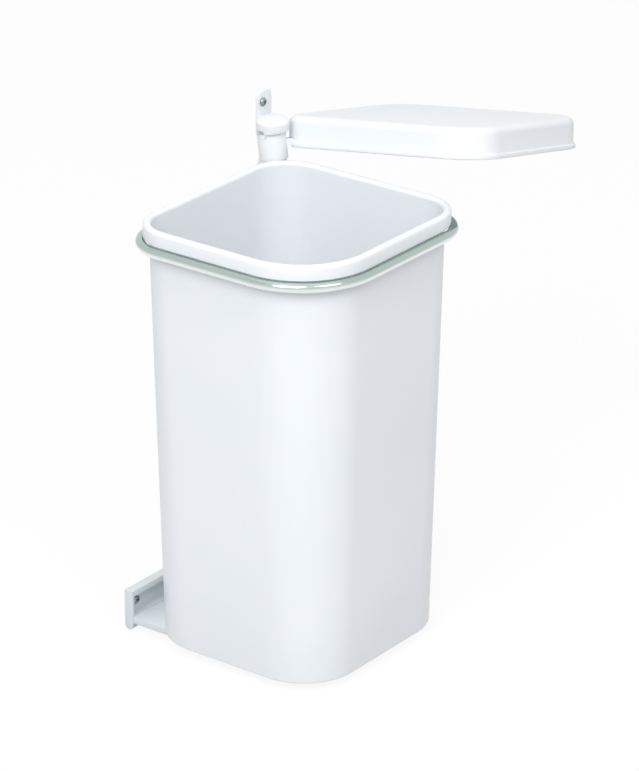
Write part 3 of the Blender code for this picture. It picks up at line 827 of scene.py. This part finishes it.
@dataclass
class ScrewSet:
    """A set of equal screws on one body."""

    finishes: Finishes
    name: str
    spots: Loop
    facing: Vector
    body: Body
    nodes: tuple[str, ...]
    size: ScrewSize
    length: float
    seed: int

    def one(self) -> Object:
        """Makes one screw along Z, with its seat at zero.

        Returns:
            The screw.
        """
        size = self.size
        head, height, shank = size.head, size.height, size.shank
        flat, side = size.flat_share, size.side_share
        tip = -self.length
        profile = [(shank * size.tip_share, tip), (shank, tip + shank * size.taper_share)]
        profile += [(shank, 0.0), (head, 0.0), (head, height * side)]
        for s, c in quarter(7)[1:-1]:
            profile.append((head * (flat + (1 - flat) * c), height * (side + (1 - side) * s)))
        profile.append((head * flat, height))
        screw = turned("screw", profile, steps=40)
        arm = head * size.cross_arm_share
        half = head * size.cross_half_share
        deep = height * size.cross_floor_share
        for x, y in ((arm, half), (half, arm)):
            combine(screw, "DIFFERENCE", box("cross", (-x, -y, deep), (x, y, height + MM)))
        return screw

    def tree(self) -> NodeTree:
        """Builds the node tree that puts a screw at each point, each at its own turn.

        Returns:
            A tree with inputs for the screw, its facing, a seed and its material.
        """
        inputs = {"Screw": "NodeSocketObject", "Facing": "NodeSocketVector", "Seed": "NodeSocketInt"}
        tree = new_tree(self.name, inputs)
        given = add_node(tree, "NodeGroupInput").outputs
        shape = add_node(tree, "GeometryNodeObjectInfo", {"Object": given["Screw"]})
        # A cross looks the same after a quarter turn
        turns = {2: 0.0, 3: math.pi / 2, "Seed": given["Seed"]}
        spin = add_node(tree, "FunctionNodeRandomValue", turns, data_type="FLOAT").outputs[1]
        upright = add_node(tree, "FunctionNodeAxisAngleToRotation", {"Axis": (0, 0, 1), "Angle": spin})
        facing = {"Vector": given["Facing"]}
        aimed = add_node(tree, "FunctionNodeAlignRotationToVector", facing, axis="Z")
        both = {"Rotation": aimed, "Rotate By": upright}
        turn = add_node(tree, "FunctionNodeRotateRotation", both, rotation_space="LOCAL")
        screw = shape.outputs["Geometry"]
        instances = {"Points": given["Geometry"], "Instance": screw, "Rotation": turn}
        copies = add_node(tree, "GeometryNodeInstanceOnPoints", instances)
        end_tree(tree, copies, given["Finish"])
        return tree

    def build(self) -> None:
        """Makes and dresses the set."""
        screw = self.one()
        obj = point_row(self.name, self.spots, joined=False)
        steel = self.finishes.steel
        inputs = {"Screw": screw, "Facing": tuple(self.facing), "Seed": self.seed, "Finish": steel}
        grow(obj, self.tree(), inputs)
        bpy.data.objects.remove(screw, do_unlink=True)
        dress(obj, steel, self.body, Slot.STEEL, *self.nodes)


def wood_screw_hole(x: float, z: float) -> Object:
    """Makes the cutter for a screw hole square to the door."""
    place = Matrix.Translation((x, 0.0, z)) @ aim(TO_ROOM)
    return peg(WOOD_SCREW_HOLE, -OVER, THROUGH, place)


@dataclass
class Bracket:
    """Flange on the door, shelf under the pail and socket for the column."""

    finishes: Finishes
    hinge: Hinge
    left: float = -0.0965
    right: float = 0.124
    thick: float = 0.0094
    top: float = 0.0335
    drop: float = 0.007
    shelf: float = 0.006
    shelf_half: float = 0.095
    shelf_front: float = -0.22705
    shelf_corner: float = 0.050
    recess_left: float = -0.0935
    recess_right: float = 0.084
    recess_low: float = 0.0075
    recess_high: float = 0.0275
    recess_depth: float = 0.0064
    socket: float = 0.01725
    bore: float = 0.01395
    socket_height: float = 0.042
    socket_floor: float = 0.003
    screw_z: float = 0.0195
    screw_x: Pair = (-0.084, 0.0745)
    screw_length: float = 0.003
    edge: float = 0.0009

    def flange(self) -> Object:
        """Makes the flange with its round lower bead.

        Returns:
            The flange, which becomes the whole bracket.
        """
        half = self.thick / 2
        bead = -self.drop + half
        section = [(0.0, self.top), (0.0, bead)]
        steps = 20
        for step in range(1, steps):
            angle = math.pi * step / steps
            section.append((-half + half * math.cos(angle), bead - half * math.sin(angle)))
        section += [(-self.thick, bead), (-self.thick, self.top)]
        loops = [[Vector((x, y, z)) for y, z in section] for x in (self.left, self.right)]
        return loft("base_moulding", loops)

    def shelf_shape(self) -> Object:
        """Makes the shelf that runs under the pail.

        Returns:
            The shelf.
        """
        back = -self.thick / 2
        outline = [Vector((self.shelf_half, back, 0.0)), Vector((-self.shelf_half, back, 0.0))]
        bend = self.shelf_corner
        middle = self.shelf_half - bend
        for x, start in ((-middle, 180.0), (middle, 270.0)):
            corner = arc(x, self.shelf_front + bend, bend, start, steps=16)
            outline += [Vector((x, y, 0.0)) for x, y in corner]
        lift = UP * self.shelf
        return loft("shelf", [outline, [point + lift for point in outline]])

    def build(self) -> None:
        """Makes and dresses the bracket."""
        bracket = self.flange()
        at_column = self.hinge.column
        high = self.socket_height
        socket = peg(self.socket, 0.0, high, at_column, steps=ROUND_STEPS)
        combine(bracket, "UNION", self.shelf_shape(), socket)
        recess = box(
            "recess",
            (self.recess_left, -self.thick - OVER, self.recess_low),
            (self.recess_right, -self.thick + self.recess_depth, self.recess_high),
        )
        bore = peg(self.bore, self.socket_floor, high + OVER, at_column, steps=ROUND_STEPS)
        combine(bracket, "DIFFERENCE", recess, bore, box("behind", *BEHIND_DOOR))
        soften(bracket, self.edge)
        holes = [wood_screw_hole(x, self.screw_z) for x in self.screw_x]
        middle = at_column @ Matrix.Translation((0.0, 0.0, high / 2))
        holes.append(peg(GRUB_HOLE, 0.0, THROUGH, middle @ aim(Vector((1.0, 0.0, 0.0)))))
        combine(bracket, "DIFFERENCE", *holes)
        dress(bracket, self.finishes.bracket, Body.FRAME, Slot.PLASTIC, "base_bracket")

    def screws(self) -> ScrewSet:
        """Places the screws in the flange's recess.

        Returns:
            The screws.
        """
        seat = -self.thick + self.recess_depth - TOUCH
        spots = [Vector((x, seat, self.screw_z)) for x in self.screw_x]
        nodes = ("base_screw_left", "base_screw_right")
        placed = ("flange_screws", spots, TO_ROOM, Body.FRAME, nodes)
        return ScrewSet(self.finishes, *placed, WOOD_SCREW, self.screw_length, seed=3)


@dataclass
class Column:
    """Tube, the plug in its top and the fixed head with its tab."""

    finishes: Finishes
    hinge: Hinge
    radius: float = 0.0137
    wall: float = 0.0016
    foot: float = 0.0033
    top: float = 0.4058
    ease: float = 0.0005
    plug_depth: float = 0.028
    plug_clearance: float = 0.00025
    plug_ease: float = 0.001
    bore: float = 0.00425
    plug_bore: Pair = (-0.0183, 0.02)
    head_bore: Pair = (0.016, 0.0355)
    head_radius: float = 0.0157
    head_edge: float = 0.0006
    shoulder: float = 0.4465
    head_dome: float = 0.0056
    tab_x: float = 0.118441
    tab_width: float = 0.0211
    tab_thick: float = 0.0026
    tab_corner: float = 0.0065
    tab_top: float = 0.4718
    screw_x: float = 0.115141
    screw_z: float = 0.4616
    screw_length: float = 0.0026

    def build(self) -> None:
        """Makes and dresses the tube, the plug and the head."""
        self.build_tube()
        self.build_head()

    def build_tube(self) -> None:
        """Makes the tube and the plug whose face is square to the leaning axis."""
        outer, foot, top, ease = self.radius, self.foot, self.top, self.ease
        inner = outer - self.wall
        profile = [(inner, foot), (outer - ease, foot), (outer, foot + ease)]
        profile += [(outer, top - ease), (outer - ease, top), (inner, top)]
        tube = turned("column", profile, self.hinge.column, closed=True)
        dress(tube, self.finishes.enamel, Body.FRAME, Slot.ENAMEL, "column_tube")
        low, high, ease = top - self.plug_depth, top + TOUCH, self.plug_ease
        fit = inner - self.plug_clearance
        profile = [(fit - ease, low), (fit, low + ease), (fit, high)]
        profile += [(outer, high), (outer, self.hinge.z + OVER)]
        plug = turned("column_end", profile, self.hinge.column)
        leaning = self.hinge.leaning
        above = box("above", (-ACROSS, -ACROSS, 0.0), (ACROSS, ACROSS, ACROSS), leaning)
        combine(plug, "DIFFERENCE", above, peg(self.bore, *self.plug_bore, leaning))
        dress(plug, self.finishes.enamel, Body.FRAME, Slot.ENAMEL, "column_plug")

    def tab(self, left: float, right: float, foot: float) -> Object:
        """Makes the tab with its round upper corners, reaching into the door.

        Args:
            left: Left side.
            right: Right side.
            foot: Height of its foot.

        Returns:
            The tab.
        """
        bend = self.tab_corner
        high = self.tab_top - bend
        outline = [(right, foot), *arc(right - bend, high, bend, 0.0, steps=12)]
        outline += [*arc(left + bend, high, bend, 90.0, steps=12), (left, foot)]
        faces = (OVER / 2, -self.tab_thick)
        return loft("tab", [[Vector((x, y, z)) for x, z in outline] for y in faces])

    def build_head(self) -> None:
        """Makes the domed head with the tab that is screwed to the door."""
        foot = self.hinge.z
        profile = [(self.head_radius, foot), (self.head_radius, self.shoulder)]
        for s, c in quarter(14)[1:-1]:
            profile.append((self.head_radius * c, self.shoulder + self.head_dome * s))
        head = turned("head", profile, self.hinge.column)
        left = self.tab_x - self.tab_width / 2
        right = self.tab_x + self.tab_width / 2
        saddle = box("saddle", (left, self.hinge.column_y, foot), (right, OVER, self.shoulder))
        combine(head, "UNION", saddle, self.tab(left, right, foot))
        leaning = self.hinge.leaning
        low = self.hinge.barrel + TOUCH
        below = box("below", (-ACROSS, -ACROSS, -THROUGH), (ACROSS, ACROSS, low), leaning)
        behind = box("behind", *BEHIND_DOOR)
        combine(head, "DIFFERENCE", below, behind, self.hinge.seam_notch())
        soften(head, self.head_edge)
        bore = peg(self.bore, *self.head_bore, leaning)
        combine(head, "DIFFERENCE", bore, wood_screw_hole(self.screw_x, self.screw_z))
        dress(head, self.finishes.plastic, Body.FRAME, Slot.PLASTIC, "hinge_head")

    def screws(self) -> ScrewSet:
        """Places the screw in the tab.

        Returns:
            The screw, as a set of one.
        """
        spot = Vector((self.screw_x, -self.tab_thick - TOUCH, self.screw_z))
        placed = ("tab_fixing", [spot], TO_ROOM, Body.FRAME, ("tab_screw",))
        return ScrewSet(self.finishes, *placed, WOOD_SCREW, self.screw_length, seed=5)


@dataclass
class Lid:
    """Shallow lid with a rounded top edge and a bead, and the arm that carries it."""

    finishes: Finishes
    hinge: Hinge
    bottom: float = 0.4215
    height: float = 0.0295
    left: float = -0.110
    right: float = 0.1125
    front: float = -0.237
    back: float = -0.023
    corner: float = 0.044
    near_corner: float = 0.030
    wall: float = 0.0022
    bead: float = 0.0022
    bead_height: float = 0.0045
    bead_ease: float = 0.0012
    mouth_ease: float = 0.0004
    edge: float = 0.007
    arm_start: float = 0.0086
    arm_width: float = 0.014
    arm_height: float = 0.007
    arm_rise: float = 0.001
    arm_edge: float = 0.0004
    web_into_tongue: float = 0.004
    web_step: float = 0.0006
    web_clear: float = 0.0014
    tongue_thick: float = 0.003
    tongue_length: float = 0.046
    tongue_clear: float = 0.0012
    tongue_width: float = 0.036
    tongue_drop: float = 0.0055
    boss: float = 0.0036
    pilot: float = 0.00155
    pilot_depth: float = 0.0045
    screw_hole: float = 0.0017
    screw_length: float = 0.0075
    screw_places: tuple[Pair, ...] = ((0.0165, 0.0), (0.036, 0.011), (0.036, -0.011))
    barrel: float = 0.0137
    barrel_bore: float = 0.0066
    washer_seat: float = 0.0104
    lower_seat: float = 0.0012
    upper_seat: float = 0.0009
    loose: float = 0.0004
    slot_past_wall: float = 0.006

    @property
    def top(self) -> float:
        """Height of the closed lid's top."""
        return self.bottom + self.height

    @property
    def arm_turn(self) -> tuple[Matrix, float]:
        """Turn that points X at the lid's near corner, and the distance to that corner's skirt."""
        near = self.near_corner
        towards = Vector((self.right - near, self.back - near)) - self.hinge.point.xy
        turn = Quaternion(UP, math.atan2(towards.y, towards.x)).to_matrix().to_4x4()
        return turn, towards.length - near

    @property
    def web_start(self) -> float:
        """Distance from the axis to the arm's web."""
        return self.arm_turn[1] + self.bead + self.wall + self.web_clear

    @property
    def tongue_high(self) -> float:
        """Height of the tongue's top over the hinge point."""
        return self.top - self.wall - self.tongue_drop - self.hinge.z

    def screw_spots(self) -> Loop:
        """Finds the places of the tongue's screws.

        Returns:
            The places under the tongue, over the hinge point with the lid closed.
        """
        turn = self.arm_turn[0]
        under = self.tongue_high - self.tongue_thick
        places = self.screw_places
        return [turn @ Vector((self.web_start + along, side, under)) for along, side in places]

    def loop(self, inset: float, z: float) -> Loop:
        """Section through the lid.

        Args:
            inset: Distance in from the bead.
            z: Height with the lid closed.

        Returns:
            The points round it, taken about the hinge point.
        """
        sides = (self.left + inset, self.right - inset, self.front + inset, self.back - inset)
        bend = self.corner - inset
        points = rounded_rectangle(sides, (self.near_corner - inset, bend, bend, bend), z)
        return [point - self.hinge.point for point in points]

    def build(self) -> None:
        """Makes and dresses the lid and its arm."""
        self.build_shell()
        self.build_arm()

    def shell(self) -> Object:
        """Makes the lid's skin.

        Returns:
            The skin, from the inside round the mouth and over the top.
        """
        bead, edge, ease = self.bead, self.edge, self.bead_ease
        inner, inner_edge = bead + self.wall, edge - self.wall
        shoulder = self.top - edge
        loops = []
        for s, c in reversed(quarter(6)):
            loops.append(self.loop(inner + inner_edge * (1 - c), shoulder + inner_edge * s))
        loops.append(self.loop(inner, self.bottom + self.mouth_ease))
        loops.append(self.loop(inner - self.mouth_ease, self.bottom))
        high = self.bottom + self.bead_height
        loops += [self.loop(ease * (1 - s), self.bottom + ease * (1 - c)) for s, c in quarter(4)]
        loops += [self.loop(ease * (1 - c), high - ease + ease * s) for s, c in quarter(4)]
        root = bead - ease
        loops += [self.loop(ease + root * s, high + root * (1 - c)) for s, c in quarter(3)]
        loops += [self.loop(bead + edge * (1 - c), shoulder + edge * s) for s, c in quarter(9)]
        return loft("lid_moulding", loops, place=self.hinge.swung)

    def build_shell(self) -> None:
        """Makes the lid's shell with its bosses and its slot for the arm."""
        lid = self.shell()
        turn, reach = self.arm_turn
        low = self.bottom - self.hinge.z
        half = self.arm_width / 2 + self.loose
        far = reach + self.bead + self.wall + self.slot_past_wall
        high = low + self.arm_rise + self.arm_height + self.loose
        swung = self.hinge.swung
        slot = box("slot", (reach - OVER, -half, low - OVER), (far, half, high), swung @ turn)
        under_top = self.top - self.wall / 2 - self.hinge.z
        tongue = self.tongue_high
        bosses = []
        pilots = []
        for spot in self.screw_spots():
            place = swung @ Matrix.Translation((spot.x, spot.y, 0.0))
            bosses.append(peg(self.boss, tongue + TOUCH, under_top, place, steps=40))
            pilots.append(peg(self.pilot, tongue - OVER, tongue + self.pilot_depth, place, steps=24))
        combine(lid, "UNION", *bosses)
        combine(lid, "DIFFERENCE", slot, *pilots)
        dress(lid, self.finishes.plastic, Body.LID, Slot.PLASTIC, "lid_shell")

    def build_arm(self) -> None:
        """Makes the barrel, the arm and the tongue as one moulding."""
        swung = self.hinge.swung
        along = swung @ self.arm_turn[0]
        half = self.arm_width / 2
        low = self.bottom + self.arm_rise - self.hinge.z
        # The wide tongue starts where the lid's round corner leaves room for it
        inner = self.near_corner - self.bead - self.wall
        wide = self.tongue_width / 2 + self.tongue_clear
        setback = inner - math.sqrt(inner**2 - wide**2) - self.web_clear
        start = self.web_start
        web_end = start + setback + self.web_into_tongue
        step = self.web_step
        high = self.tongue_high
        arm = box(
            "arm_moulding",
            (self.arm_start, -half, low),
            (web_end - step, half, low + self.arm_height),
            along,
        )
        web = box("web", (start, -half + step, low + step), (web_end, half - step, high - step), along)
        tongue = box(
            "tongue",
            (start + setback, -self.tongue_width / 2, high - self.tongue_thick),
            (start + self.tongue_length, self.tongue_width / 2, high),
            along,
        )
        leaning = self.hinge.swung_leaning
        length = self.hinge.barrel
        barrel = peg(self.barrel, TOUCH, length, leaning, steps=ROUND_STEPS)
        combine(arm, "UNION", web, tongue, barrel)
        combine(arm, "DIFFERENCE", self.hinge.seam_notch())
        soften(arm, self.arm_edge)
        cutters = [
            peg(self.barrel_bore, -OVER, THROUGH, leaning, steps=48),
            peg(self.washer_seat, -OVER, self.lower_seat, leaning, steps=48),
            peg(self.washer_seat, length - self.upper_seat, THROUGH, leaning, steps=48),
        ]
        for spot in self.screw_spots():
            place = swung @ Matrix.Translation(spot)
            cutters.append(peg(self.screw_hole, -OVER / 2, OVER, place, steps=24))
        combine(arm, "DIFFERENCE", *cutters)
        dress(arm, self.finishes.plastic, Body.LID, Slot.PLASTIC, "hinge_arm")

    def screws(self) -> ScrewSet:
        """Places the screws under the tongue.

        Returns:
            The screws.
        """
        swung = self.hinge.swung
        down = (swung.to_3x3() @ -UP).normalized()
        spots = [swung @ (spot - UP * TOUCH) for spot in self.screw_spots()]
        nodes = ("lid_screw_near", "lid_screw_left", "lid_screw_right")
        placed = ("tongue_screws", spots, down, Body.LID, nodes)
        return ScrewSet(self.finishes, *placed, LID_SCREW, self.screw_length, seed=7)


@dataclass(frozen=True)
class Lamp:
    """A square soft light."""

    name: str
    place: Corner
    size: float
    watts: float


@dataclass
class Studio:
    """Pale floor, soft light and a camera at the photograph's angle."""

    to_door: float
    aim_height: float = 0.200
    azimuth: float = math.radians(-52.63)
    elevation: float = math.radians(24.16)
    distance: float = 3.900
    sensor_mm: float = 36.0
    focal_px: float = 4205.6
    shift_px: Pair = (-21.9, 44.6)
    clip_end: float = 50.0
    floor: float = -0.0075
    floor_half: float = 30.0
    floor_shade: str = "#C2C4C6"
    floor_glow: float = 0.90
    white: str = "#FFFFFF"
    ambient: float = 0.60
    lamps: tuple[Lamp, ...] = (
        Lamp("overhead", (0.3, 0.2, 2.9), 2.0, 6.0),
        Lamp("key", (-2.2, -0.9, 2.3), 1.6, 51.0),
        Lamp("front", (-0.6, -2.5, 2.6), 1.4, 21.0),
    )

    @property
    def target(self) -> Vector:
        """Point that the camera and the lamps are aimed at."""
        return Vector((0.0, -self.to_door, self.aim_height))

    def camera(self) -> None:
        """Adds the camera."""
        data = bpy.data.cameras.new("camera")
        data.sensor_width = self.sensor_mm
        data.lens = self.focal_px * self.sensor_mm / IMAGE_HEIGHT
        data.shift_x = -self.shift_px[0] / IMAGE_HEIGHT
        data.shift_y = self.shift_px[1] / IMAGE_HEIGHT
        data.clip_end = self.clip_end
        level = math.cos(self.elevation)
        x, y = math.sin(self.azimuth) * level, -math.cos(self.azimuth) * level
        back = Vector((x, y, math.sin(self.elevation)))
        camera = add_object("camera", data)
        camera.location = self.target + back * self.distance
        camera.rotation_euler = back.to_track_quat("Z", "Y").to_euler()
        bpy.context.scene.camera = camera

    def light(self, lamp: Lamp) -> None:
        """Adds a lamp, aimed at the object.

        Args:
            lamp: The lamp.
        """
        data = bpy.data.lights.new(lamp.name, "AREA")
        data.size = lamp.size
        data.energy = lamp.watts
        obj = add_object(lamp.name, data)
        obj.location = lamp.place
        obj.rotation_euler = (Vector(lamp.place) - self.target).to_track_quat("Z", "Y").to_euler()

    def world(self) -> None:
        """Adds surroundings that are white to the eye and in reflections, and dimmer as light."""
        world = bpy.data.worlds.new("surroundings")
        bpy.context.scene.world = world
        world.use_nodes = True
        tree = world.node_tree
        tree.nodes.clear()
        path = add_node(tree, "ShaderNodeLightPath").outputs
        rays = {0: path["Is Camera Ray"], 1: path["Is Transmission Ray"]}
        direct = add_node(tree, "ShaderNodeMath", rays, operation="MAXIMUM")
        rays = {0: direct, 1: path["Is Glossy Ray"]}
        seen = add_node(tree, "ShaderNodeMath", rays, operation="MAXIMUM")
        levels = {"Value": seen, "To Min": self.ambient, "To Max": 1.0}
        strength = add_node(tree, "ShaderNodeMapRange", levels)
        light = {"Color": linear(self.white), "Strength": strength}
        sky = add_node(tree, "ShaderNodeBackground", light)
        add_node(tree, "ShaderNodeOutputWorld", {"Surface": sky})

    def ground(self) -> None:
        """Adds the pale floor, white to the eye apart from the object's soft shadow."""
        bm = bmesh.new()
        bmesh.ops.create_grid(bm, x_segments=1, y_segments=1, size=self.floor_half)
        floor = make_object("floor", bm, Matrix.Translation((0.0, 0.0, self.floor)))
        surface = bpy.data.materials.new("pale_floor")
        surface.use_nodes = True
        tree = surface.node_tree
        tree.nodes.clear()
        path = add_node(tree, "ShaderNodeLightPath").outputs
        white = linear(self.white)
        shades = {0: path["Is Camera Ray"], 6: linear(self.floor_shade), 7: white}
        pale = add_node(tree, "ShaderNodeMix", shades, data_type="RGBA").outputs[2]
        matt = add_node(tree, "ShaderNodeBsdfDiffuse", {"Color": pale})
        glow = add_node(tree, "ShaderNodeEmission", {"Color": white, "Strength": 1.0})
        rays = {0: path["Is Camera Ray"], 1: path["Is Glossy Ray"]}
        seen = add_node(tree, "ShaderNodeMath", rays, operation="MAXIMUM")
        share = add_node(tree, "ShaderNodeMath", {0: seen, 1: self.floor_glow}, operation="MULTIPLY")
        mixed = add_node(tree, "ShaderNodeMixShader", {0: share, 1: matt, 2: glow})
        add_node(tree, "ShaderNodeOutputMaterial", {"Surface": mixed})
        floor.data.materials.append(surface)

    def build(self) -> None:
        """Makes the whole studio."""
        bpy.context.scene.view_settings.view_transform = "Standard"
        self.camera()
        self.world()
        self.ground()
        for lamp in self.lamps:
            self.light(lamp)


def dress_hidden(frame: dict, finishes: Finishes) -> None:
    """Gives the inner solids that keep their own meshes their materials.

    Args:
        frame: The loaded frame.
        finishes: The materials.
    """
    wanted = {
        finishes.steel: ("spindle", "column_screw", "collar_screw"),
        finishes.nylon: ("lower_bush", "upper_bush", "lower_washer", "upper_washer"),
    }
    for surface, names in wanted.items():
        for name in names:
            node = frame["nodes"][name]
            node.data.materials.clear()
            node.data.materials.append(surface)
            LOG.info("%s keeps its solid", name)


def main() -> None:
    """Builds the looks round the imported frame."""
    logging.basicConfig(level=logging.INFO)
    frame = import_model()
    finishes = Finishes()
    hinge = Hinge()
    pail = Pail(finishes)
    bracket = Bracket(finishes, hinge)
    column = Column(finishes, hinge)
    lid = Lid(finishes, hinge)
    Studio(pail.to_door).build()
    for piece in (pail, Hoop(finishes, pail, hinge), bracket, column, lid):
        piece.build()
    for holder in (bracket, column, lid):
        holder.screws().build()
    dress_hidden(frame, finishes)


if __name__ == "__main__":
    main()
